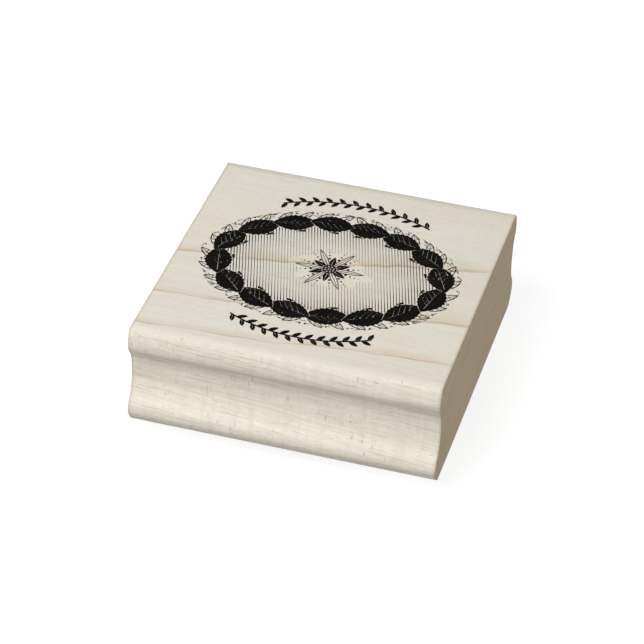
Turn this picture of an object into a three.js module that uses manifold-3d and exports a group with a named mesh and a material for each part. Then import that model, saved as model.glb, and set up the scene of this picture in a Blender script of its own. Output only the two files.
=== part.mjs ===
// A wood-mounted art stamp: a sawn length of moulded maple strip with its picture printed on top, and
// under it a foam cushion and an engraved rubber die, each held by a film of double-sided adhesive.
//
// Millimetres, +Z up. X runs along the grain of the wood, from sawn end to sawn end. Y runs across it,
// from the front finger groove (-Y) to the back one (+Y). The origin is the centre of the stamping face,
// so the stamp stands on Z = 0 by the raised parts of its die.

import * as THREE from "three";
import { mergeVertices } from "three/addons/utils/BufferGeometryUtils.js";
import Module from "manifold-3d";

const wasm = await Module();
wasm.setup();

// ---- driving dimensions -------------------------------------------------------------------------------

// The wooden mount. The moulding is the same front and back, so these are half depths from its middle.
const MOUNT_LENGTH = 52;
const MOUNT_HEIGHT = 18.9;
const TOP_HALF = 25.9; // edge of the flat top
const BEAD_HALF = 26.9; // crest of the bead above the finger groove
const BEAD_HEIGHT = 16.1;
const GROOVE_HALF = 25.2; // bottom of the finger groove
const GROOVE_HEIGHT = 10.1;
const FOOT_HALF = 27.5; // crest of the flared foot
const FOOT_HEIGHT = 3.2;
const UNDERSIDE_HALF = 25.1; // edge of the flat underside
const ARRIS = 0.25; // sanded edge round each sawn end
// How far the moulding's curves run on straight out of each of those places before they bend.
const RUN = {
  topOut: 0.6,
  topDown: 0.4,
  beadUp: 0.9,
  beadDown: 2.1,
  grooveUp: 4.4,
  grooveDown: 5,
  footUp: 2.3,
  footDown: 1.3,
  undersideOut: 0.6,
};
const MOULDING_CUTS = 8; // straight cuts that each of those curves is made of

// The layers under the mount, which share one oval outline.
const FILM = 0.1;
const CUSHION = 1.6;
const RUBBER = 1.5;
const RELIEF = 0.8; // how deep the rubber is engraved
const DIE_HALF_LENGTH = 24.4;
const DIE_HALF_DEPTH = 22;
const LAYER_CUTS = 36;

// The picture, which the print and the die share. corners is how many straight cuts each side of a leaf is
// made of. outward is how far outside the stem its middle lies, and lean turns its tip away from the stem.
const INK = 0.05;
const WREATH_HALF_LENGTH = 18.8; // the oval that the wreath's stem follows
const WREATH_HALF_DEPTH = 13.1;
const WREATH_STEM = 0.7;
const WREATH_CUTS = 24;
const WREATH_SIDE = 8; // broad leaves on each half of the wreath
const BROAD_LEAF = { length: 7.8, width: 4.7, corners: 3, outward: 0.1, lean: -0.1 };
const OUTER_LEAF = { length: 4.4, width: 1.5, corners: 2, outward: 1.9, lean: 0.73 };
const INNER_LEAF = { length: 3.8, width: 1.4, corners: 2, outward: -1.6, lean: -0.6 };
const ROSETTE_HUB = 1.2;
const HUB_CUTS = 16;
const ROSETTE_PETALS = 12;
const LONG_PETAL = { length: 6, width: 1.1, corners: 2 };
const SHORT_PETAL = { length: 3.6, width: 1.1, corners: 2 };
const BACK_SPRIG = { middle: -7.6, radius: 27.5, halfSpan: 0.49, side: 1 };
const FRONT_SPRIG = { middle: 4.8, radius: 24.8, halfSpan: 0.5, side: -1 };
const SPRIG_STEM = 0.35;
const SPRIG_CUTS = 8;
const SPRIG_LEAVES = 24;
const SPRIG_LEAF = { length: 2, width: 0.85, corners: 2, lean: 0.85, reach: 0.84 }; // reach: stem to middle

// Heights of the layers, from the stamping face up.
const RUBBER_TOP = RUBBER;
const CUSHION_FOOT = RUBBER_TOP + FILM;
const CUSHION_TOP = CUSHION_FOOT + CUSHION;
const MOUNT_FOOT = CUSHION_TOP + FILM;
const MOUNT_TOP = MOUNT_FOOT + MOUNT_HEIGHT;

// ---- materials ----------------------------------------------------------------------------------------

const maple = new THREE.MeshStandardMaterial({ color: 0xe3dccb, roughness: 0.75, metalness: 0 });
const ink = new THREE.MeshStandardMaterial({ color: 0x161412, roughness: 0.6, metalness: 0 });
const adhesive = new THREE.MeshStandardMaterial({ color: 0xd9d3c0, roughness: 0.35, metalness: 0 });
const foam = new THREE.MeshStandardMaterial({ color: 0x8f9194, roughness: 0.95, metalness: 0 });
const rubber = new THREE.MeshStandardMaterial({ color: 0x8a3428, roughness: 0.7, metalness: 0 });

// ---- solids -------------------------------------------------------------------------------------------

const SAME_POINT = 1e-4; // corners closer than this are one

function solidOf(geometry) {
  const bare = geometry.clone();
  bare.deleteAttribute("normal");
  bare.deleteAttribute("uv");
  const merged = mergeVertices(bare, SAME_POINT);
  return new wasm.Manifold(
    new wasm.Mesh({
      numProp: 3,
      vertProperties: merged.attributes.position.array,
      triVerts: new Uint32Array(merged.index.array),
    }),
  );
}

function geometryOf(solid) {
  const mesh = solid.getMesh();
  const geometry = new THREE.BufferGeometry();
  geometry.setAttribute("position", new THREE.BufferAttribute(mesh.vertProperties, 3));
  geometry.setIndex(new THREE.BufferAttribute(mesh.triVerts, 1));
  geometry.computeVertexNormals();
  return geometry;
}

function weld(geometries) {
  return geometryOf(geometries.map(solidOf).reduce((whole, piece) => whole.add(piece)));
}

// A flat layer of the given outline, from one height up to another. Each curve of it becomes cuts lines.
function layer(shape, from, to, cuts) {
  const flat = { depth: to - from, bevelEnabled: false, curveSegments: cuts };
  return new THREE.ExtrudeGeometry(shape, flat).translate(0, 0, from);
}

function node(name, geometry, material) {
  const mesh = new THREE.Mesh(geometry, material);
  mesh.name = name;
  return mesh;
}

// ---- outlines -----------------------------------------------------------------------------------------

// The moulding in section: half depth to the right, height up, its underside at height 0. The curves run
// upright through the crests and the bottom of the groove, and meet the flat top at an arris.
function mouldingSection() {
  const at = (half, height) => new THREE.Vector2(half, height);
  const top = at(TOP_HALF, MOUNT_HEIGHT);
  const bead = at(BEAD_HALF, BEAD_HEIGHT);
  const groove = at(GROOVE_HALF, GROOVE_HEIGHT);
  const foot = at(FOOT_HALF, FOOT_HEIGHT);
  const underside = at(UNDERSIDE_HALF, 0);
  const beside = (point, out, up) => at(point.x + out, point.y + up);
  const curves = [
    [top, beside(top, RUN.topOut, -RUN.topDown), beside(bead, 0, RUN.beadUp), bead],
    [bead, beside(bead, 0, -RUN.beadDown), beside(groove, 0, RUN.grooveUp), groove],
    [groove, beside(groove, 0, -RUN.grooveDown), beside(foot, 0, RUN.footUp), foot],
    [foot, beside(foot, 0, -RUN.footDown), beside(underside, RUN.undersideOut, 0), underside],
  ].map((handles) => new THREE.CubicBezierCurve(...handles));
  const back = curves.flatMap((curve, i) => curve.getPoints(MOULDING_CUTS).slice(i ? 1 : 0));
  const front = back.map((point) => at(-point.x, point.y)).reverse();
  return new THREE.Shape([...front, ...back]);
}

function oval(halfLength, halfDepth) {
  return new THREE.Shape().absellipse(0, 0, halfLength, halfDepth, 0, 2 * Math.PI, false);
}

function ovalBand(halfLength, halfDepth, width) {
  const band = oval(halfLength + width / 2, halfDepth + width / 2);
  band.holes.push(oval(halfLength - width / 2, halfDepth - width / 2));
  return band;
}

function arcBand(radius, width, from, to) {
  return new THREE.Shape()
    .absarc(0, 0, radius + width / 2, from, to, false)
    .absarc(0, 0, radius - width / 2, to, from, true);
}

// A leaf or petal with pointed ends, lying along X about its own middle.
function leafShape({ length, width }) {
  return new THREE.Shape()
    .moveTo(-length / 2, 0)
    .quadraticCurveTo(0, -width, length / 2, 0)
    .quadraticCurveTo(0, width, -length / 2, 0);
}

// ---- the picture --------------------------------------------------------------------------------------
// Each part of it is a list of marks: a flat shape, where its middle goes, how far it is turned, and how
// many straight cuts each of its curves is made of.

function mark(shape, x, y, turn, cuts) {
  return { shape, x, y, turn, cuts };
}

function leafMark(leaf, x, y, turn) {
  return mark(leafShape(leaf), x, y, turn, leaf.corners);
}

// Leaves spaced evenly along the right half of the wreath's stem, from its front to its back.
function leavesAlongStem(leaf, count) {
  const { outward, lean } = leaf;
  const front = -Math.PI / 2;
  const round = front + 2 * Math.PI;
  const stem = new THREE.EllipseCurve(0, 0, WREATH_HALF_LENGTH, WREATH_HALF_DEPTH, front, round);
  return Array.from({ length: count }, (_, i) => {
    const share = (i + 0.5) / (2 * count);
    const point = stem.getPointAt(share);
    const along = stem.getTangentAt(share);
    const turn = Math.atan2(along.y, along.x) - lean;
    return leafMark(leaf, point.x + outward * along.y, point.y - outward * along.x, turn);
  });
}

function bothSides(marks) {
  const mirrored = marks.map((m) => ({ ...m, x: -m.x, turn: Math.PI - m.turn }));
  return [...marks, ...mirrored];
}

function wreath() {
  return [
    mark(ovalBand(WREATH_HALF_LENGTH, WREATH_HALF_DEPTH, WREATH_STEM), 0, 0, 0, WREATH_CUTS),
    ...bothSides([
      ...leavesAlongStem(BROAD_LEAF, WREATH_SIDE),
      ...leavesAlongStem(OUTER_LEAF, WREATH_SIDE * 2),
      ...leavesAlongStem(INNER_LEAF, WREATH_SIDE),
    ]),
  ];
}

// Long and short petals in turn, round a solid hub.
function rosette() {
  const petals = Array.from({ length: ROSETTE_PETALS }, (_, i) => {
    const petal = i % 2 ? SHORT_PETAL : LONG_PETAL;
    const turn = (2 * Math.PI * i) / ROSETTE_PETALS;
    const out = petal.length / 2;
    return leafMark(petal, out * Math.cos(turn), out * Math.sin(turn), turn);
  });
  return [mark(oval(ROSETTE_HUB, ROSETTE_HUB), 0, 0, 0, HUB_CUTS), ...petals];
}

// A bent stem with small leaves that spring from one side of it and the other in turn. side is 1 for the
// back of the stamp and -1 for the front.
function sprig({ middle, radius, halfSpan, side }) {
  const centre = (side * Math.PI) / 2;
  const leaves = Array.from({ length: SPRIG_LEAVES }, (_, i) => {
    const angle = centre + halfSpan * ((2 * (i + 0.5)) / SPRIG_LEAVES - 1);
    const lean = i % 2 ? SPRIG_LEAF.lean : -SPRIG_LEAF.lean;
    const turn = angle + Math.PI / 2 + lean;
    const x = radius * Math.cos(angle) + SPRIG_LEAF.reach * Math.cos(turn);
    const y = middle + radius * Math.sin(angle) + SPRIG_LEAF.reach * Math.sin(turn);
    return leafMark(SPRIG_LEAF, x, y, turn);
  });
  const stem = arcBand(radius, SPRIG_STEM, centre - halfSpan, centre + halfSpan);
  return [mark(stem, 0, middle, 0, SPRIG_CUTS), ...leaves];
}

// The marks of one part of the picture, as one solid between two heights.
function raised(marks, from, to) {
  const solids = marks.map(({ shape, x, y, turn, cuts }) =>
    layer(shape, from, to, cuts).rotateZ(turn).translate(x, y, 0),
  );
  return weld(solids);
}

// ---- the pieces ---------------------------------------------------------------------------------------

function woodBlock() {
  const strip = new THREE.ExtrudeGeometry(mouldingSection(), {
    depth: MOUNT_LENGTH - 2 * ARRIS,
    bevelThickness: ARRIS,
    bevelSize: ARRIS,
    bevelOffset: -ARRIS,
    bevelSegments: 1,
  });
  strip.translate(0, 0, ARRIS - MOUNT_LENGTH / 2);
  // the section's right becomes +Y, its up +Z, and the way it was extruded +X
  const layDown = new THREE.Matrix4().makeBasis(
    new THREE.Vector3(0, 1, 0),
    new THREE.Vector3(0, 0, 1),
    new THREE.Vector3(1, 0, 0),
  );
  return node("wood_block", strip.applyMatrix4(layDown).translate(0, 0, MOUNT_FOOT), maple);
}

const picture = {
  wreath: wreath(),
  rosette: rosette(),
  sprig_back: sprig(BACK_SPRIG),
  sprig_front: sprig(FRONT_SPRIG),
};

// The picture printed on top of the wood, to show what the die under it stamps.
function indexPrint() {
  return Object.entries(picture).map(([part, marks]) =>
    node(`index_${part}`, raised(marks, MOUNT_TOP, MOUNT_TOP + INK), ink),
  );
}

function ovalLayer(from, to) {
  return layer(oval(DIE_HALF_LENGTH, DIE_HALF_DEPTH), from, to, LAYER_CUTS);
}

// One sheet of rubber, engraved from below until only the picture stands proud of its floor.
function rubberDie() {
  const root = 0.2; // how far the raised parts reach into the floor, to join it
  const reliefs = Object.values(picture).map((marks) => raised(marks, 0, RELIEF + root));
  return node("rubber_die", weld([ovalLayer(RELIEF, RUBBER_TOP), ...reliefs]), rubber);
}

const stamp = new THREE.Group();
stamp.add(
  woodBlock(),
  ...indexPrint(),
  node("mount_adhesive", ovalLayer(CUSHION_TOP, MOUNT_FOOT), adhesive),
  node("foam_cushion", ovalLayer(CUSHION_FOOT, CUSHION_TOP), foam),
  node("die_adhesive", ovalLayer(RUBBER_TOP, CUSHION_FOOT), adhesive),
  rubberDie(),
);

export default stamp;
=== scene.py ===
import math
import random

import bpy
from mathutils import Matrix, Vector, noise
from mathutils.bvhtree import BVHTree
from mathutils.geometry import delaunay_2d_cdt, interpolate_bezier


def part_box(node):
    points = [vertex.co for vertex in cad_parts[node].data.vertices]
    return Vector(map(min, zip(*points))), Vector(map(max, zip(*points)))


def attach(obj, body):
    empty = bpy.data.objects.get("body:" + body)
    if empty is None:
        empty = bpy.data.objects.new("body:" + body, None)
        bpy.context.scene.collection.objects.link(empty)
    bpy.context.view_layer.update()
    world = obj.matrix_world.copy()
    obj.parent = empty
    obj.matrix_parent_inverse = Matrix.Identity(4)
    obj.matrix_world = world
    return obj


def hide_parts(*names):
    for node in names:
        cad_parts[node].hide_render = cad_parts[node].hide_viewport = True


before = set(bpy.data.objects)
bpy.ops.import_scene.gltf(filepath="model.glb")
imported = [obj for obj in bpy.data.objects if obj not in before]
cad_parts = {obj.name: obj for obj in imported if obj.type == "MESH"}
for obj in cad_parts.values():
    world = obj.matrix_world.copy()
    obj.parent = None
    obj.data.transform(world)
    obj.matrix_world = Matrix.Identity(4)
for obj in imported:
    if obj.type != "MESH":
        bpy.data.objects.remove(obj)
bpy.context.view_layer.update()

# ---- The mount ----------------------------------------------------------------------------------------
# A sawn length of hard maple moulding, with a finger groove run along its front and its back. It is
# sanded but not finished, and only the edges round the two sawn ends are eased.

MM = 0.001
block_low, block_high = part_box("wood_block")
mount_foot = block_low.z / MM
mount_top = block_high.z / MM
mount_height = mount_top - mount_foot
half_length = block_high.x / MM

foot_half = block_high.y / MM  # crest of the flared foot, from the middle of the moulding
foot_height = 3.2
groove_half = foot_half - 2.3
groove_height = 10.1
bead_half = foot_half - 0.6
bead_height = 16.1
top_half = foot_half - 1.6
underside_half = foot_half - 2.4


def evenly(start, end, steps):
    """Values from start to end, both included."""
    return [start + (end - start) * i / steps for i in range(steps + 1)]


def half_section(cuts=14, flat_steps=16):
    """The moulding's outline up its back, from the middle of the underside to the middle of the top."""
    top = Vector((top_half, mount_height, 0))
    bead = Vector((bead_half, bead_height, 0))
    groove = Vector((groove_half, groove_height, 0))
    foot = Vector((foot_half, foot_height, 0))
    underside = Vector((underside_half, 0, 0))
    out, up = Vector((1, 0, 0)), Vector((0, 1, 0))
    # each number is how far, in millimetres, a curve heads straight on before it bends
    sweeps = [
        (underside, underside + 0.6 * out, foot - 1.3 * up, foot),
        (foot, foot + 2.3 * up, groove - 5 * up, groove),
        (groove, groove + 4.4 * up, bead - 2.1 * up, bead),
        (bead, bead + 0.9 * up, top + 0.6 * out - 0.4 * up, top),
    ]
    line = [Vector((half, 0)) for half in evenly(0, underside_half, flat_steps)]
    for sweep in sweeps:
        line += [Vector(p[:2]) for p in interpolate_bezier(*sweep, cuts)[1:]]
    line += [Vector((half, mount_height)) for half in evenly(top_half, 0, flat_steps)[1:]]
    return line


def outward_normals(loop):
    """The way out of a closed anticlockwise line at each of its points."""
    around = [(loop[i - 1], loop[(i + 1) % len(loop)]) for i in range(len(loop))]
    return [Vector((b.y - a.y, a.x - b.x)).normalized() for a, b in around]


def eased(point, end):
    """How far a sawn end's edge is rounded at a point of the section, with small knocks here and there."""
    usual, unevenness = 0.11, 0.05
    knock_depth, knock_rarity = 0.4, 0.45
    wander = noise.noise(Vector((point.x * 0.35, point.y * 0.35, end * 7.3)))
    knock = noise.noise(Vector((point.x * 0.9, point.y * 0.9, end * 3.1 + 20)))
    return usual + unevenness * wander + knock_depth * max(0, knock - knock_rarity)


def mount_mesh(lengthwise=46, rounding=4, clear_of_end=0.5):
    """The moulding as a skin of rings across the grain, closed by a ladder of faces at each sawn end."""
    back = half_section()
    loop = back + [Vector((-p.x, p.y)) for p in back[-2:0:-1]]
    normals = outward_normals(loop)
    points, softness = [], []

    def add_ring(places, insets, soft):
        for x, inset, p, n in zip(places, insets, loop, normals):
            points.append((x * MM, (p - n * inset).x * MM, ((p - n * inset).y + mount_foot) * MM))
            softness.append(soft)

    def add_edge(end, turns):
        ease = [eased(p, end) for p in loop]
        for turn in turns:
            places = [end * (half_length - e * (1 - math.cos(turn))) for e in ease]
            add_ring(places, [e * (1 - math.sin(turn)) for e in ease], 1)

    quarter_turn = evenly(0, math.pi / 2, rounding)
    add_edge(-1, quarter_turn)
    for x in evenly(clear_of_end - half_length, half_length - clear_of_end, lengthwise):
        add_ring([x] * len(loop), [0] * len(loop), 0)
    add_edge(1, quarter_turn[::-1])

    count = len(loop)
    faces = []
    for first in range(0, len(points) - count, count):
        for i in range(count):
            j = (i + 1) % count
            faces.append((first + i, first + j, first + count + j, first + count + i))
    smooth = [True] * len(faces)
    middle = len(back) - 1
    for first, facing in ((0, 1), (len(points) - count, -1)):
        for i in range(middle):
            rung = [i, i + 1, (count - i - 1) % count, (count - i) % count]
            corners = list(dict.fromkeys(rung))
            faces.append([first + corner for corner in corners[::-facing]])
            smooth.append(False)

    mesh = bpy.data.meshes.new("maple_block")
    mesh.from_pydata(points, [], faces)
    mesh.polygons.foreach_set("use_smooth", smooth)
    arris = mesh.attributes.new("arris", "FLOAT", "POINT")
    arris.data.foreach_set("value", softness)
    return mesh


class Finish:
    """A surface finish put together one node at a time. Each call gives back what its node makes."""

    def __init__(self, name):
        self.material = bpy.data.materials.new(name)
        self.material.use_nodes = True
        self.tree = self.material.node_tree
        self.shader = self.tree.nodes["Principled BSDF"]

    def feed(self, socket, value):
        if isinstance(value, bpy.types.NodeSocket):
            self.tree.links.new(value, socket)
        else:
            socket.default_value = value

    def node(self, kind, inputs, output=0, **settings):
        made = self.tree.nodes.new(kind)
        for setting, value in settings.items():
            setattr(made, setting, value)
        for name, value in inputs.items():
            self.feed(made.inputs[name], value)
        return made.outputs[output]

    def place(self):
        """Where a point of the surface is, in millimetres of the stamp's own frame."""
        metres = self.node("ShaderNodeTexCoord", {}, "Object")
        return self.stretched(metres, (1 / MM, 1 / MM, 1 / MM))

    def stretched(self, place, factors):
        return self.node("ShaderNodeVectorMath", {0: place, 1: factors}, operation="MULTIPLY")

    def along(self, place, direction):
        inputs = {0: place, 1: direction}
        return self.node("ShaderNodeVectorMath", inputs, "Value", operation="DOT_PRODUCT")

    def point(self, x, y, z):
        return self.node("ShaderNodeCombineXYZ", {0: x, 1: y, 2: z})

    def sum(self, operation, a, b=0.0):
        return self.node("ShaderNodeMath", {0: a, 1: b}, operation=operation)

    def cloud(self, place, scale=1.0, detail=2.0, roughness=0.5):
        inputs = {"Vector": place, "Scale": scale, "Detail": detail, "Roughness": roughness}
        return self.node("ShaderNodeTexNoise", inputs)

    def cells(self, place, output="Distance"):
        return self.node("ShaderNodeTexVoronoi", {"Vector": place, "Scale": 1.0}, output)

    def fade(self, value, start, end, low=0.0, high=1.0):
        """Goes smoothly from low where value is at start to high where it is at end."""
        inputs = {"Value": value, "From Min": start, "From Max": end, "To Min": low, "To Max": high}
        return self.node("ShaderNodeMapRange", inputs, interpolation_type="SMOOTHSTEP")

    def tint(self, share, under, over, blend="MIX"):
        inputs = {0: share, 6: under, 7: over}
        return self.node("ShaderNodeMix", inputs, 2, data_type="RGBA", blend_type=blend)

    def raise_by(self, height):
        """Relief too fine to model, from a height in millimetres."""
        inputs = {"Height": height, "Strength": 1.0, "Distance": MM}
        self.feed(self.shader.inputs["Normal"], self.node("ShaderNodeBump", inputs))


def colour(red, green, blue):
    return (red, green, blue, 1.0)


def sanded_maple():
    """Pale wood cut from one side of a log whose heart lies below and behind the block."""
    heart_back, heart_below = 25, 78
    ring_gap, first_ring = 3.82, 103.0
    wood = Finish("sanded_maple")
    place = wood.place()
    x = wood.along(place, (1, 0, 0))
    normal = wood.node("ShaderNodeTexCoord", {}, "Normal")
    # the front and back show the rings edge on, the flat top and underside show them lying down
    edge_on = wood.fade(wood.sum("ABSOLUTE", wood.along(normal, (0, 1, 0))), 0.25, 0.85)
    # the log ran a little askew to the strip, so the rings slope along it
    across = wood.sum("SUBTRACT", wood.along(place, (0.045, 1, 0)), heart_back)
    up = wood.sum("ADD", wood.along(place, (0.062, 0, 1)), heart_below)
    drift = wood.cloud(wood.stretched(place, (0.04, 0.05, 0.05)), 1, 1)
    ripple = wood.cloud(wood.stretched(place, (0.16, 0.1, 0.1)), 1, 2)
    wander = wood.sum("ADD", wood.sum("MULTIPLY", drift, 1.4), wood.sum("MULTIPLY", ripple, 0.5))
    far = wood.node("ShaderNodeVectorMath", {0: wood.point(0.0, across, up)}, "Value", operation="LENGTH")
    radius = wood.sum("ADD", far, wood.sum("SUBTRACT", wander, 0.95))
    turn = wood.sum("MULTIPLY", wood.sum("ARCTAN2", across, up), first_ring)
    grain = wood.point(x, turn, radius)

    # each ring darkens slowly outwards and stops at a sharp line
    rings = wood.sum("DIVIDE", wood.sum("SUBTRACT", radius, first_ring), ring_gap)
    share = wood.sum("FRACT", wood.sum("ADD", rings, 40))
    patches = wood.cloud(wood.stretched(grain, (0.07, 0.3, 0.3)), 1, 2)
    outer_wood = wood.fade(radius, first_ring - 3, first_ring - 1.5)
    shown = wood.sum("MULTIPLY", outer_wood, wood.fade(edge_on, 0, 1, 1, 0.3))
    shown = wood.sum("MULTIPLY", shown, wood.fade(patches, 0.35, 0.6, 0.4, 1))
    late = wood.sum("MULTIPLY", wood.fade(share, 0.72, 0.99), shown)
    line = wood.sum("MULTIPLY", wood.fade(share, 0.94, 0.985), shown)
    each = wood.node("ShaderNodeTexWhiteNoise", {"W": wood.sum("FLOOR", rings)}, noise_dimensions="1D")

    warmth = wood.cloud(wood.stretched(grain, (0.03, 0.09, 0.09)), 1, 2)
    streaks = wood.cloud(wood.stretched(grain, (0.03, 1.3, 1.3)), 1, 4, 0.6)
    fibres = wood.cloud(wood.stretched(grain, (0.3, 6, 6)), 1, 2)
    curl = wood.cloud(wood.stretched(grain, (0.8, 0.12, 0.16)), 1, 3, 0.6)
    hairs = wood.fade(wood.cloud(wood.stretched(grain, (0.07, 2.6, 3.4)), 1, 1), 0.6, 0.72)
    pores = wood.fade(wood.cells(wood.stretched(grain, (0.55, 4.2, 4.2))), 0.3, 0.12)
    ray_place = wood.stretched(grain, (1.7, 0.8, 0.42))
    ray_pick = wood.along(wood.cells(ray_place, "Color"), (1, 0, 0))
    rays = wood.sum("MULTIPLY", wood.fade(wood.cells(ray_place), 0.4, 0.2), wood.fade(ray_pick, 0.5, 1.0))
    ray_groups = wood.cloud(wood.stretched(grain, (0.14, 0.12, 0.12)), 1, 2)
    rays = wood.sum("MULTIPLY", rays, wood.fade(ray_groups, 0.42, 0.66, 0.12, 1))

    figure = wood.fade(edge_on, 0, 1, 0.4, 1.0)
    tone = wood.tint(wood.fade(warmth, 0.35, 0.65), colour(0.735, 0.71, 0.63), colour(0.74, 0.69, 0.585))
    streaky = wood.tint(wood.fade(streaks, 0.3, 0.7), colour(0.67, 0.62, 0.52), colour(0.80, 0.765, 0.68))
    tone = wood.tint(wood.sum("MULTIPLY", figure, 0.75), tone, streaky)
    curly = wood.fade(curl, 0.3, 0.62, 0.4, 0)
    tone = wood.tint(wood.sum("MULTIPLY", curly, edge_on), tone, colour(0.64, 0.575, 0.455))
    fibrous = wood.sum("MULTIPLY", wood.fade(fibres, 0.35, 0.65, 0, 0.3), figure)
    tone = wood.tint(fibrous, tone, colour(0.62, 0.56, 0.45))
    tone = wood.tint(wood.fade(each, 0, 1, 0, 0.08), tone, colour(0.58, 0.50, 0.39))
    tone = wood.tint(wood.sum("MULTIPLY", late, 0.42), tone, colour(0.60, 0.46, 0.30))
    tone = wood.tint(wood.sum("MULTIPLY", line, 0.36), tone, colour(0.38, 0.25, 0.14))
    hairy = wood.sum("MULTIPLY", hairs, wood.fade(edge_on, 0, 1, 0.06, 0.3))
    tone = wood.tint(hairy, tone, colour(0.36, 0.29, 0.19))
    porous = wood.sum("MULTIPLY", pores, wood.fade(edge_on, 0, 1, 0.1, 0.3))
    tone = wood.tint(porous, tone, colour(0.36, 0.28, 0.18))
    flecked = wood.sum("MULTIPLY", rays, wood.fade(edge_on, 0, 1, 0.22, 0.75))
    tone = wood.tint(flecked, tone, colour(0.54, 0.38, 0.22))

    # the sawn ends show the cut fibres, which drink in the light, and the arcs left by the saw
    sawn = wood.fade(wood.sum("ABSOLUTE", wood.along(normal, (1, 0, 0))), 0.8, 0.97)
    saw_hub = wood.node("ShaderNodeVectorMath", {0: place, 1: (0, 40, 260)}, operation="ADD")
    saw_flat = wood.stretched(saw_hub, (0, 1, 1))
    saw_radius = wood.node("ShaderNodeVectorMath", {0: saw_flat}, "Value", operation="LENGTH")
    saw_place = wood.point(wood.sum("MULTIPLY", saw_radius, 1.9), wood.along(place, (0, 0.06, 0)), x)
    saw_marks = wood.cloud(saw_place, 1, 3, 0.6)
    cut_fibres = wood.cloud(wood.stretched(place, (1, 5, 5)), 1, 3, 0.6)
    furrow, crest = colour(0.545, 0.42, 0.262), colour(0.645, 0.508, 0.332)
    end_tone = wood.tint(wood.fade(saw_marks, 0.25, 0.75), furrow, crest)
    end_tone = wood.tint(wood.fade(cut_fibres, 0.35, 0.7, 0, 0.2), end_tone, colour(0.48, 0.36, 0.215))
    end_tone = wood.tint(wood.sum("MULTIPLY", late, 0.25), end_tone, colour(0.43, 0.30, 0.17))
    tone = wood.tint(sawn, tone, end_tone)
    arris = wood.node("ShaderNodeAttribute", {}, "Fac", attribute_name="arris")
    rubbed = wood.sum("MULTIPLY", arris, wood.fade(sawn, 0, 1, 0.7, 0))
    tone = wood.tint(rubbed, tone, colour(0.56, 0.45, 0.31))
    wood.feed(wood.shader.inputs["Base Color"], tone)

    wood.feed(wood.shader.inputs["Roughness"], wood.fade(streaks, 0.3, 0.7, 0.72, 0.6))
    wood.shader.inputs["Specular IOR Level"].default_value = 0.2
    long_grain = wood.sum("ADD", wood.sum("MULTIPLY", fibres, 0.012), wood.sum("MULTIPLY", streaks, 0.015))
    long_grain = wood.sum("SUBTRACT", long_grain, wood.sum("MULTIPLY", pores, 0.02))
    end_grain = wood.sum("MULTIPLY", saw_marks, 0.05)
    end_grain = wood.sum("ADD", end_grain, wood.sum("MULTIPLY", cut_fibres, 0.015))
    on_end = wood.sum("MULTIPLY", end_grain, sawn)
    on_side = wood.sum("MULTIPLY", long_grain, wood.sum("SUBTRACT", 1.0, sawn))
    wood.raise_by(wood.sum("ADD", on_end, on_side))
    return wood.material


def fitted(mesh, finish, slot, *nodes):
    """Puts a finished piece in the stamp, where it rides along and stands for CAD nodes. Its slot is not
    used.
    """
    piece = bpy.data.objects.new(mesh.name, mesh)
    bpy.context.scene.collection.objects.link(piece)
    piece.data.materials.append(finish)
    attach(piece, "root")
    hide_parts(*nodes)
    return piece


fitted(mount_mesh(), sanded_maple(), "maple", "wood_block")

# ---- The picture --------------------------------------------------------------------------------------
# An oval wreath round a small rosette, with a leafy sprig behind it and one before it. The print on the
# mount and the rubber die are both cut from this one drawing, which is laid out here once.

stem_half_length = 18.8
stem_half_depth = 13.1
stem_width = 0.7


def turned(outline, x, y, turn):
    """An outline moved so that its origin is at x, y, after it is turned."""
    spin = Matrix.Rotation(turn, 2)
    return [spin @ p + Vector((x, y)) for p in outline]


def oval(half_length, half_depth, x=0.0, y=0.0, steps=96):
    turns = evenly(0, 2 * math.pi, steps)[:-1]
    return [Vector((x + half_length * math.cos(t), y + half_depth * math.sin(t))) for t in turns]


def disc(radius, x=0.0, y=0.0, steps=12):
    return oval(radius, radius, x, y, steps)


def leaf_outline(length, width, grow=0.0, teeth=0, steps=12):
    """A leaf along X about its own middle, pointed at both ends. grow makes it larger all round."""
    reach = length / 2 + 1.6 * grow
    outline = []
    for side in (-1, 1):
        for i in range(steps):
            share = i / steps
            notch = 0.1 * (1 - abs(math.sin(math.pi * teeth * share))) if teeth else 0
            half = (width + 2 * grow) * 2 * share * (1 - share) * (1 - notch)
            outline.append(Vector((side * reach * (1 - 2 * share), side * half)))
    return outline


def sliver(start, end, thick, thin):
    """A narrow tapering cut from one point to another."""
    side = (end - start).orthogonal().normalized() / 2
    return [start - side * thick, end - side * thin, end + side * thin, start + side * thick]


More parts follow.
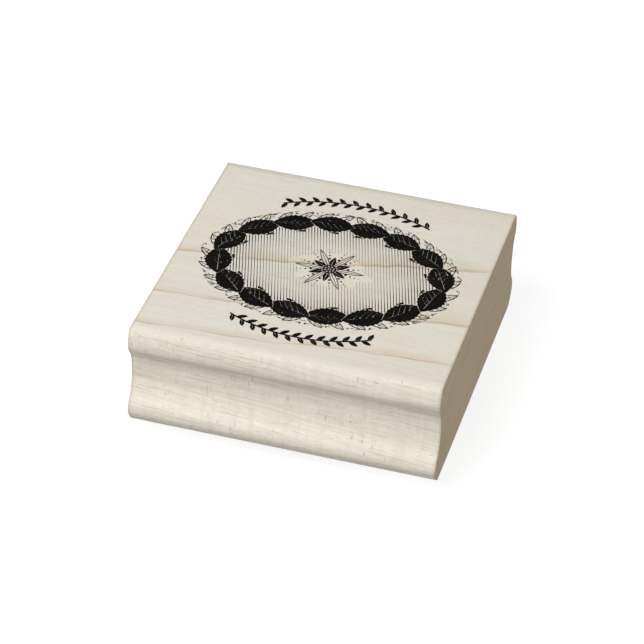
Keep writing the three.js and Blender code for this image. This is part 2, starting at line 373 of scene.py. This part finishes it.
class Drawing:
    """Closed marks laid one over another, each of ink or of bare ground, and creases for the engraver."""

    def __init__(self):
        self.marks = []
        self.creases = []

    def lay(self, outline, inked=True):
        area = sum(a.cross(b) for a, b in zip(outline, outline[1:] + outline[:1]))
        self.marks.append((outline if area > 0 else outline[::-1], inked))

    def crease(self, line, closed=True):
        self.creases.append(line + line[:1] if closed else line)

    def leaf(self, kind, x, y, turn):
        """A solid leaf's rib and veins are left bare. An open one has only its rim, rib and veins inked."""
        length, width, rib = kind["length"], kind["width"], kind["rib"]
        steps, is_open = kind["steps"], kind["is_open"]
        gap = 0.06

        def put(outline):
            return turned(outline, x, y, turn)

        self.lay(put(leaf_outline(length, width, gap, 0, steps)), inked=False)
        self.lay(put(leaf_outline(length, width, 0, kind["teeth"], steps)))
        self.crease(put(leaf_outline(length, width, gap / 2)))
        self.crease(put(leaf_outline(length, width, 0.2)))
        if is_open:
            self.lay(put(leaf_outline(length, width, -rib, 0, steps)), inked=False)
            self.crease(put(leaf_outline(length, width, -0.5 * (rib + width / 4))))
        base, tip = Vector((-0.38 * length, 0)), Vector((0.42 * length, 0))
        self.lay(put(sliver(base, tip, rib, rib / 3)), inked=is_open)
        if not is_open:
            self.crease(put([base.lerp(tip, share) for share in evenly(0.04, 0.96, 6)]), closed=False)
        for i in range(1, kind["veins"] + 1):
            share = i / (kind["veins"] + 1)
            root = base.lerp(tip, share * 0.85)
            reach = 0.8 * width * 2 * share * (1 - share) + 0.1 * width
            for side in (-1, 1):
                end = root + Vector((0.9 * reach, side * reach))
                self.lay(put(sliver(root, end, 0.7 * rib, 0.35 * rib)), inked=is_open)
                self.crease(put([root.lerp(end, share) for share in evenly(0.1, 0.9, 4)]), closed=False)


def leaf_kind(length, width, rib, veins=0, teeth=0, steps=12, is_open=False):
    return dict(length=length, width=width, rib=rib, veins=veins, teeth=teeth, steps=steps, is_open=is_open)


def stem_places(count, shift=0.5):
    """Points spaced evenly along the right half of the stem, from front to back, with their tangents."""
    turns = evenly(-math.pi / 2, math.pi / 2, 2000)
    path = [Vector((stem_half_length * math.cos(t), stem_half_depth * math.sin(t))) for t in turns]
    runs = [0]
    for a, b in zip(path, path[1:]):
        runs.append(runs[-1] + (b - a).length)
    places = []
    for i in range(count):
        k = next(k for k, run in enumerate(runs) if run > runs[-1] * (i + shift) / count)
        places.append((path[k], (path[k] - path[k - 1]).normalized()))
    return places


def beside_stem(count, outward, lean, shift=0.5):
    """Places and turns outward of the wreath's stem, on its right half and mirrored on its left half."""
    for point, along in stem_places(count, shift):
        x, y = point.x + outward * along.y, point.y - outward * along.x
        turn = math.atan2(along.y, along.x) - lean
        yield x, y, turn
        yield -x, y, math.pi - turn


def shading_strokes(drawing):
    """Fine slanting strokes across the ground inside the wreath, which thin out towards its middle."""
    pitch, slant = 0.52, -0.287
    heaviest, lightest, open_share, swell = 0.165, 0.03, 0.36, 1.8
    short_of_stem = 0.8
    half_length, half_depth = stem_half_length - short_of_stem, stem_half_depth - short_of_stem
    count = int((half_length - slant * half_depth) / pitch)
    for k in range(-count, count + 1):
        runs = [[]]
        for y in evenly(-half_depth, half_depth, 80):
            x = k * pitch + slant * y
            outness = math.hypot(x / half_length, y / half_depth)
            share = (outness - open_share) / (1 - open_share)
            wear = 0.5 * noise.noise(Vector((x * 0.45, y * 0.45, 4.0)))
            if outness < 1 and share + wear * 0.4 > 0:
                thick = lightest + (heaviest - lightest) * max(0, share) ** swell * (1 + wear)
                runs[-1].append((x, y, thick))
            elif runs[-1]:
                runs.append([])
        for run in runs:
            if len(run) > 3:
                left = [Vector((x - thick / 2, y)) for x, y, thick in run]
                right = [Vector((x + thick / 2, y)) for x, y, thick in run]
                drawing.lay(right + left[::-1])
                drawing.crease([Vector((x + pitch / 2, y)) for x, y, _ in run], closed=False)


def chatter(drawing, count, nearest, furthest, seed, inked=True):
    """Short stray cuts that the gouge leaves alongside the wreath, mirrored like its leaves."""
    rng = random.Random(seed)
    for _ in range(count):
        turn = rng.uniform(-math.pi / 2, math.pi / 2)
        outward = rng.uniform(nearest, furthest)
        x, y = (stem_half_length + outward) * math.cos(turn), (stem_half_depth + outward) * math.sin(turn)
        lie = math.atan2(stem_half_depth * math.cos(turn), -stem_half_length * math.sin(turn))
        lie += rng.uniform(-0.25, 0.25)
        reach = rng.uniform(0.15, 0.7)
        thick, thin = rng.uniform(0.05, 0.16), 0.02
        cut = sliver(Vector((-reach, 0)), Vector((reach, 0)), thick, thin)
        drawing.lay(turned(cut, x, y, lie), inked)
        drawing.lay(turned(cut, -x, y, math.pi - lie), inked)


def draw_wreath():
    drawing = Drawing()
    drawing.lay(oval(stem_half_length + stem_width / 2, stem_half_depth + stem_width / 2))
    drawing.lay(oval(stem_half_length - stem_width / 2, stem_half_depth - stem_width / 2), inked=False)
    shading_strokes(drawing)
    chatter(drawing, count=90, nearest=2.0, furthest=3.5, seed=5)
    outer = leaf_kind(4.4, 1.5, rib=0.15, veins=2, is_open=True)
    inner = leaf_kind(3.8, 1.4, rib=0.1)
    broad = leaf_kind(7.8, 4.7, rib=0.09, veins=4, teeth=9, steps=36)
    for x, y, turn in beside_stem(count=16, outward=1.9, lean=0.73):
        drawing.leaf(outer, x, y, turn)
    for x, y, turn in beside_stem(count=8, outward=-1.6, lean=-0.6):
        drawing.leaf(inner, x, y, turn)
    for x, y, turn in beside_stem(count=8, outward=0.1, lean=-0.1):
        drawing.leaf(broad, x, y, turn)
    dot = 0.15
    for x, y, _ in beside_stem(count=32, outward=3.0, lean=0, shift=0.25):
        drawing.lay(disc(dot, x, y, 10))
    chatter(drawing, count=40, nearest=-1.8, furthest=1.6, seed=8, inked=False)
    return drawing


def draw_rosette():
    drawing = Drawing()
    petals = 12
    long_petal = leaf_kind(6.0, 1.1, rib=0.13, is_open=True)
    short_petal = leaf_kind(3.6, 1.1, rib=0.14)
    for i in range(petals):
        kind = short_petal if i % 2 else long_petal
        turn = 2 * math.pi * i / petals
        out = kind["length"] / 2
        drawing.leaf(kind, out * math.cos(turn), out * math.sin(turn), turn)
        beside = turn + math.pi / petals
        for dot_out, size in ((3.1, 0.22), (4.0, 0.16), (4.8, 0.11), (5.5, 0.07)):
            drawing.lay(disc(size, dot_out * math.cos(beside), dot_out * math.sin(beside), 12))
    hub, bare_ring = 1.2, 1.3
    drawing.lay(disc(bare_ring, steps=32), inked=False)
    drawing.lay(disc(hub, steps=32))
    seeds, seed_out, seed_size = 8, 0.74, 0.17
    for i in range(seeds):
        turn = 2 * math.pi * (i + 0.5) / seeds
        drawing.lay(disc(seed_size, seed_out * math.cos(turn), seed_out * math.sin(turn), 10), inked=False)
    eye, eye_ring = 0.18, 0.3
    drawing.lay(disc(eye_ring, steps=16), inked=False)
    drawing.lay(disc(eye, steps=12))
    return drawing


def draw_sprig(middle, radius, half_span, side):
    """A bent stem with small leaves that spring from one side of it and the other in turn."""
    drawing = Drawing()
    centre = side * math.pi / 2
    stem_half, reach, lean = 0.15, 0.84, 0.85
    beside = 0.2  # the engraver's crease runs this far from the stem
    rim = [Vector((math.cos(t), math.sin(t))) for t in evenly(centre - half_span, centre + half_span, 40)]
    base = Vector((0, middle))
    inside = [base + (radius - stem_half) * p for p in rim]
    outside = [base + (radius + stem_half) * p for p in rim]
    leaves = 24
    small = leaf_kind(2.0, 0.8, rib=0.07, steps=10)
    for i in range(leaves):
        angle = centre + half_span * (2 * (i + 0.5) / leaves - 1)
        turn = angle + math.pi / 2 + (lean if i % 2 else -lean)
        x = radius * math.cos(angle) + reach * math.cos(turn)
        y = middle + radius * math.sin(angle) + reach * math.sin(turn)
        drawing.leaf(small, x, y, turn)
    drawing.lay(outside + inside[::-1])
    drawing.crease([base + (radius + stem_half + beside) * p for p in rim], closed=False)
    drawing.crease([base + (radius - stem_half - beside) * p for p in rim], closed=False)
    return drawing


def triangles_of(drawing, ground=(), grid=()):
    """Cuts the drawing into triangles: the points, the triangles, and for each whether ink lies on top."""
    marks = ([(ground, False)] if ground else []) + drawing.marks
    corners, outlines, edges = list(grid), [], []
    for outline, _ in marks:
        outlines.append(list(range(len(corners), len(corners) + len(outline))))
        corners += outline
    for line in drawing.creases if ground else []:
        edges += [(i, i + 1) for i in range(len(corners), len(corners) + len(line) - 1)]
        corners += line
    inside_only, near_enough = 1, 1e-3
    cut = delaunay_2d_cdt(corners, edges, outlines, inside_only, near_enough, True)
    points, _, faces, _, _, sources = cut
    kept = [(face, marks[max(source)][1]) for face, source in zip(faces, sources) if source]
    return points, [face for face, _ in kept], [inked for _, inked in kept]


def rim_edges(faces):
    """The edges that only one of the faces has, each in the direction in which its face runs."""
    edges = {(a, b) for face in faces for a, b in zip(face, face[1:] + face[:1])}
    return [(a, b) for a, b in edges if (b, a) not in edges]


picture = {
    "index_wreath": draw_wreath(),
    "index_rosette": draw_rosette(),
    "index_sprig_back": draw_sprig(middle=-7.6, radius=27.5, half_span=0.49, side=1),
    "index_sprig_front": draw_sprig(middle=4.8, radius=24.8, half_span=0.5, side=-1),
}

# ---- The index print ----------------------------------------------------------------------------------
# The picture in black ink on the flat top, to show what the die stamps. The ink is rolled on dry, sinks
# into the wood, and misses a few pores.


def print_mesh(name, drawing):
    low, high = (corner.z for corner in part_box(name))
    points, faces, inked = triangles_of(drawing)
    faces = [face for face, ink in zip(faces, inked) if ink]
    used = sorted({i for face in faces for i in face})
    place = {i: k for k, i in enumerate(used)}
    faces = [[place[i] for i in face] for face in faces]
    count = len(used)
    flat = [points[i] * MM for i in used]
    skin = [(p.x, p.y, high) for p in flat] + [(p.x, p.y, low) for p in flat]
    under = [[i + count for i in face[::-1]] for face in faces]
    sides = [[b, a, a + count, b + count] for a, b in rim_edges(faces)]
    mesh = bpy.data.meshes.new(name.replace("index", "print"))
    mesh.from_pydata(skin, [], faces + under + sides)
    return mesh


def sunken_ink():
    ink = Finish("sunken_ink")
    place = ink.place()
    pores = ink.fade(ink.cells(ink.stretched(place, (0.6, 3.6, 3.6))), 0.2, 0.08)
    thin = ink.fade(ink.cloud(ink.stretched(place, (0.2, 1.2, 1.2)), 1, 3), 0.45, 0.7)
    missed = ink.sum("MULTIPLY", pores, thin)
    tone = ink.tint(thin, colour(0.0055, 0.0048, 0.0042), colour(0.011, 0.0095, 0.008))
    tone = ink.tint(ink.sum("MULTIPLY", missed, 0.35), tone, colour(0.25, 0.2, 0.14))
    ink.feed(ink.shader.inputs["Base Color"], tone)
    ink.feed(ink.shader.inputs["Roughness"], ink.fade(thin, 0, 1, 0.6, 0.8))
    ink.shader.inputs["Specular IOR Level"].default_value = 0.04
    fibres = ink.cloud(ink.stretched(place, (0.25, 7, 7)), 1, 2)
    ink.raise_by(ink.sum("MULTIPLY", fibres, 0.012))
    return ink.material


ink = sunken_ink()
for name, drawing in picture.items():
    fitted(print_mesh(name, drawing), ink, "ink", name)

# ---- The two adhesive films ---------------------------------------------------------------------------
# Clear double-sided film, one under the mount and one under the cushion, punched out together with the
# layers that it joins. Its cut edge catches a little dust.


def slab_mesh(name, low, high, wall, steps=240):
    """An oval sheet. wall gives how far its cut edge lies inside the oval, for a height share and a turn."""
    shares = evenly(0, 1, 8)
    points = []
    for share in shares:
        for t in evenly(0, 2 * math.pi, steps)[:-1]:
            inset = wall(share, t) * MM
            x, y = (high.x - inset) * math.cos(t), (high.y - inset) * math.sin(t)
            points.append((x, y, low.z + (high.z - low.z) * share))
    faces = []
    for row in range(len(shares) - 1):
        for i in range(steps):
            j = (i + 1) % steps
            faces.append([row * steps + i, row * steps + j, (row + 1) * steps + j, (row + 1) * steps + i])
    smooth = [True] * len(faces) + [False, False]
    faces.append(list(range(steps))[::-1])
    faces.append([(len(shares) - 1) * steps + i for i in range(steps)])
    mesh = bpy.data.meshes.new(name)
    mesh.from_pydata(points, [], faces)
    mesh.polygons.foreach_set("use_smooth", smooth)
    return mesh


def film_wall(_, t):
    """A film's cut edge lies a little inside the oval, the same all the way up, and isn't quite even."""
    usual, unevenness = 0.12, 0.05
    return usual + unevenness * noise.noise(Vector((9 * math.cos(t), 9 * math.sin(t), 1.0)))


def clear_film():
    film = Finish("clear_film")
    place = film.place()
    dust = film.fade(film.cloud(place, 1.4, 4), 0.4, 0.7)
    tone = film.tint(dust, colour(0.72, 0.69, 0.58), colour(0.52, 0.48, 0.38))
    film.feed(film.shader.inputs["Base Color"], tone)
    film.feed(film.shader.inputs["Roughness"], film.fade(dust, 0, 1, 0.25, 0.6))
    film.shader.inputs["Subsurface Weight"].default_value = 0.2
    film.shader.inputs["Subsurface Radius"].default_value = (0.0004, 0.0003, 0.0002)
    film.raise_by(film.sum("MULTIPLY", film.cloud(place, 2.5, 3), 0.02))
    return film.material


film = clear_film()
for name in ("mount_adhesive", "die_adhesive"):
    low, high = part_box(name)
    layer = slab_mesh(name.replace("adhesive", "film"), low, high, film_wall)
    fitted(layer, film, "adhesive", name)

# ---- The cushion --------------------------------------------------------------------------------------
# Grey closed-cell foam, die-cut from sheet. It lets the rubber find an uneven surface. Its cut edge draws
# in a little between the two films and shows sliced cells.


def cushion_wall(share, t):
    """The foam's cut edge draws in by a waist halfway up, and is roughened by its cells."""
    usual, waist, roughness = 0.06, 0.14, 0.05
    spot = Vector((70 * math.cos(t), 62 * math.sin(t), 4 * share))
    return usual + waist * math.sin(math.pi * share) + roughness * noise.noise(spot)


def grey_foam():
    foam = Finish("grey_foam")
    place = foam.place()
    cells = foam.cells(foam.stretched(place, (4.2, 4.2, 4.2)))
    small = foam.cells(foam.stretched(place, (9, 9, 9)))
    hollow = foam.fade(cells, 0.12, 0.5)
    blotches = foam.cloud(place, 0.25, 3)
    tone = foam.tint(foam.fade(blotches, 0.35, 0.65), colour(0.20, 0.205, 0.21), colour(0.27, 0.275, 0.28))
    # the pits of the sliced cells are darkened here: painted shade in the hollows
    tone = foam.tint(foam.fade(hollow, 0, 1, 0.45, 0), tone, colour(0.09, 0.092, 0.095))
    foam.feed(foam.shader.inputs["Base Color"], tone)
    foam.feed(foam.shader.inputs["Roughness"], foam.fade(hollow, 0, 1, 0.95, 0.8))
    foam.shader.inputs["Sheen Weight"].default_value = 0.15
    relief = foam.sum("ADD", foam.sum("MULTIPLY", hollow, 0.06), foam.sum("MULTIPLY", small, 0.03))
    foam.raise_by(relief)
    return foam.material


cushion_low, cushion_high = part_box("foam_cushion")
cushion_mesh = slab_mesh("cushion", cushion_low, cushion_high, cushion_wall, steps=480)
cushion = fitted(cushion_mesh, grey_foam(), "foam", "foam_cushion")

# ---- The die ------------------------------------------------------------------------------------------
# Red rubber engraved from below, until only the picture stands proud. The raised parts keep sloping
# shoulders, so that they don't fold over in use, and the floor between them is left rough.

die_low, die_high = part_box("rubber_die")
relief_depth = 0.8
shoulder_slope = 4.0


def die_mesh():
    whole = Drawing()
    for drawing in picture.values():
        whole.marks += drawing.marks
        whole.creases += drawing.creases
    half_length, half_depth = die_high.x / MM, die_high.y / MM
    ground = oval(half_length, half_depth, steps=200)
    columns, rows, clear_of_rim = 96, 86, 0.98
    grid = [
        Vector((x, y))
        for x in evenly(-half_length, half_length, columns)
        for y in evenly(-half_depth, half_depth, rows)
        if math.hypot(x / half_length, y / half_depth) < clear_of_rim
    ]
    points, faces, raised = triangles_of(whole, ground, grid)
    tops = [face for face, up in zip(faces, raised) if up]
    on_top = {i for face in tops for i in face}
    tree = BVHTree.FromPolygons([(p.x, p.y, 0) for p in points], tops)
    skin = []
    for i, p in enumerate(points):
        sunk = 0
        if i not in on_top:
            away = tree.find_nearest((p.x, p.y, 0))[3]
            rough = 0.03 * noise.noise(Vector((p.x * 0.9, p.y * 0.9, 8.0)))
            sunk = min(relief_depth + rough, shoulder_slope * away)
        skin.append((p.x * MM, p.y * MM, die_low.z + sunk * MM))
    rim = dict(rim_edges(faces))
    start = next(iter(rim))
    loop = [start]
    while rim[loop[-1]] != start:
        loop.append(rim[loop[-1]])
    first = len(skin)
    skin += [(points[i].x * MM, points[i].y * MM, die_high.z) for i in loop]
    count = len(loop)
    back = list(range(first, first + count))
    walls = [[loop[i], loop[(i + 1) % count], back[(i + 1) % count], back[i]] for i in range(count)]
    under = [face[::-1] for face in faces]
    mesh = bpy.data.meshes.new("die")
    mesh.from_pydata(skin, [], under + walls + [back])
    mesh.polygons.foreach_set("use_smooth", [True] * len(mesh.polygons))
    mesh.set_sharp_from_angle(angle=math.radians(35))
    return mesh


def red_rubber():
    rubber = Finish("red_rubber")
    place = rubber.place()
    height = rubber.along(place, (0, 0, 1))
    mottle = rubber.cloud(place, 0.5, 4)
    grit = rubber.cloud(place, 9, 3, 0.7)
    floor = rubber.fade(height, 0.2, 0.7)
    dull, bright = colour(0.30, 0.060, 0.036), colour(0.37, 0.085, 0.052)
    tone = rubber.tint(rubber.fade(mottle, 0.35, 0.65), dull, bright)
    # the sunken floor between the raised parts is painted darker: painted shade in the recesses
    tone = rubber.tint(rubber.sum("MULTIPLY", floor, 0.35), tone, colour(0.22, 0.05, 0.034))
    chalk = rubber.sum("MULTIPLY", rubber.fade(grit, 0.5, 0.75), rubber.fade(floor, 0, 1, 0.06, 0.22))
    tone = rubber.tint(chalk, tone, colour(0.55, 0.42, 0.38))
    rubber.feed(rubber.shader.inputs["Base Color"], tone)
    rubber.feed(rubber.shader.inputs["Roughness"], rubber.fade(floor, 0, 1, 0.55, 0.85))
    rubber.shader.inputs["Specular IOR Level"].default_value = 0.4
    rubber.raise_by(rubber.sum("MULTIPLY", grit, rubber.fade(floor, 0, 1, 0.008, 0.05)))
    return rubber.material


fitted(die_mesh(), red_rubber(), "rubber", "rubber_die")

# ---- The table ----------------------------------------------------------------------------------------
# A white sheet lit from beneath as well as from above, wide enough to fill the view. It can be seen
# through from below, so that the die can be looked at.


def table_sheet():
    reach, corners, gap = 3, 64, 0.02 * MM
    mesh = bpy.data.meshes.new("table_sheet")
    rim = [(reach * math.cos(t), reach * math.sin(t), -gap) for t in evenly(0, 2 * math.pi, corners)[:-1]]
    mesh.from_pydata(rim, [], [list(range(corners))])
    sheet = bpy.data.objects.new("table_sheet", mesh)
    bpy.context.scene.collection.objects.link(sheet)
    white = Finish("white_sheet")
    white.shader.inputs["Base Color"].default_value = colour(0.26, 0.26, 0.26)
    white.shader.inputs["Roughness"].default_value = 0.9
    white.shader.inputs["Specular IOR Level"].default_value = 0.1
    white.shader.inputs["Emission Color"].default_value = colour(1, 1, 1)
    white.shader.inputs["Emission Strength"].default_value = 0.84
    under = white.node("ShaderNodeNewGeometry", {}, "Backfacing")
    clear = white.node("ShaderNodeBsdfTransparent", {})
    seen = white.node("ShaderNodeMixShader", {0: under, 1: white.shader.outputs[0], 2: clear})
    white.feed(white.tree.nodes["Material Output"].inputs["Surface"], seen)
    mesh.materials.append(white.material)
    sheet.visible_diffuse = False


table_sheet()

# ---- The light ----------------------------------------------------------------------------------------
# White walls all round, a little brighter below where the lit sheet lies, and one large soft lamp high up
# in front and to the left.


def white_walls(overhead=0.33, from_sheet=0.5, seen=1.0):
    world = bpy.data.worlds.new("white_walls")
    world.use_nodes = True
    bpy.context.scene.world = world
    nodes, links = world.node_tree.nodes, world.node_tree.links

    def glow(strength):
        made = nodes.new("ShaderNodeBackground")
        made.inputs["Strength"].default_value = strength
        made.inputs["Color"].default_value = colour(1, 1, 1)
        return made.outputs[0]

    def choose(share, first, second):
        mix = nodes.new("ShaderNodeMixShader")
        for socket, source in zip(mix.inputs, (share, first, second)):
            links.new(source, socket)
        return mix.outputs[0]

    heights = nodes.new("ShaderNodeSeparateXYZ")
    links.new(nodes.new("ShaderNodeTexCoord").outputs["Generated"], heights.inputs[0])
    horizon = nodes.new("ShaderNodeMapRange")
    links.new(heights.outputs["Z"], horizon.inputs["Value"])
    horizon.inputs["From Min"].default_value = -0.1
    horizon.inputs["From Max"].default_value = 0.1
    walls = choose(horizon.outputs[0], glow(from_sheet), glow(overhead))
    seen_or_not = nodes.new("ShaderNodeLightPath").outputs["Is Camera Ray"]
    links.new(choose(seen_or_not, walls, glow(seen)), nodes["World Output"].inputs["Surface"])


def soft_lamp(distance=1.2, size=0.7, power=13.2):
    lamp = bpy.data.lights.new("soft_lamp", "AREA")
    lamp.shape = "DISK"
    lamp.size = size
    lamp.energy = power
    direction = Vector((-0.27, -0.58, 0.77)).normalized()
    holder = bpy.data.objects.new("soft_lamp", lamp)
    holder.location = direction * distance
    holder.rotation_euler = direction.to_track_quat("Z", "Y").to_euler()
    bpy.context.scene.collection.objects.link(holder)


white_walls()
soft_lamp()

# ---- The camera ---------------------------------------------------------------------------------------
# A long lens looking down on the front of the stamp from its right, tipped a little to one side. It
# stands about nine block lengths away, so the block's far edges draw in only a little.

camera_aim = Vector((-0.75, -0.73, 11.71)) * MM
camera_distance = 458 * MM
camera_azimuth = math.radians(14.958)
camera_elevation = math.radians(36)
camera_roll = math.radians(2.07)

lens = bpy.data.cameras.new("camera")
lens.sensor_width = 36
lens.lens = 152.08
camera = bpy.data.objects.new("camera", lens)
facing = Matrix.Rotation(camera_azimuth, 3, "Z") @ Matrix.Rotation(math.pi / 2 - camera_elevation, 3, "X")
facing = facing @ Matrix.Rotation(camera_roll, 3, "Z")
camera.rotation_euler = facing.to_euler()
camera.location = camera_aim + facing @ Vector((0, 0, camera_distance))
bpy.context.scene.collection.objects.link(camera)
bpy.context.scene.camera = camera
bpy.context.scene.view_settings.view_transform = "Standard"
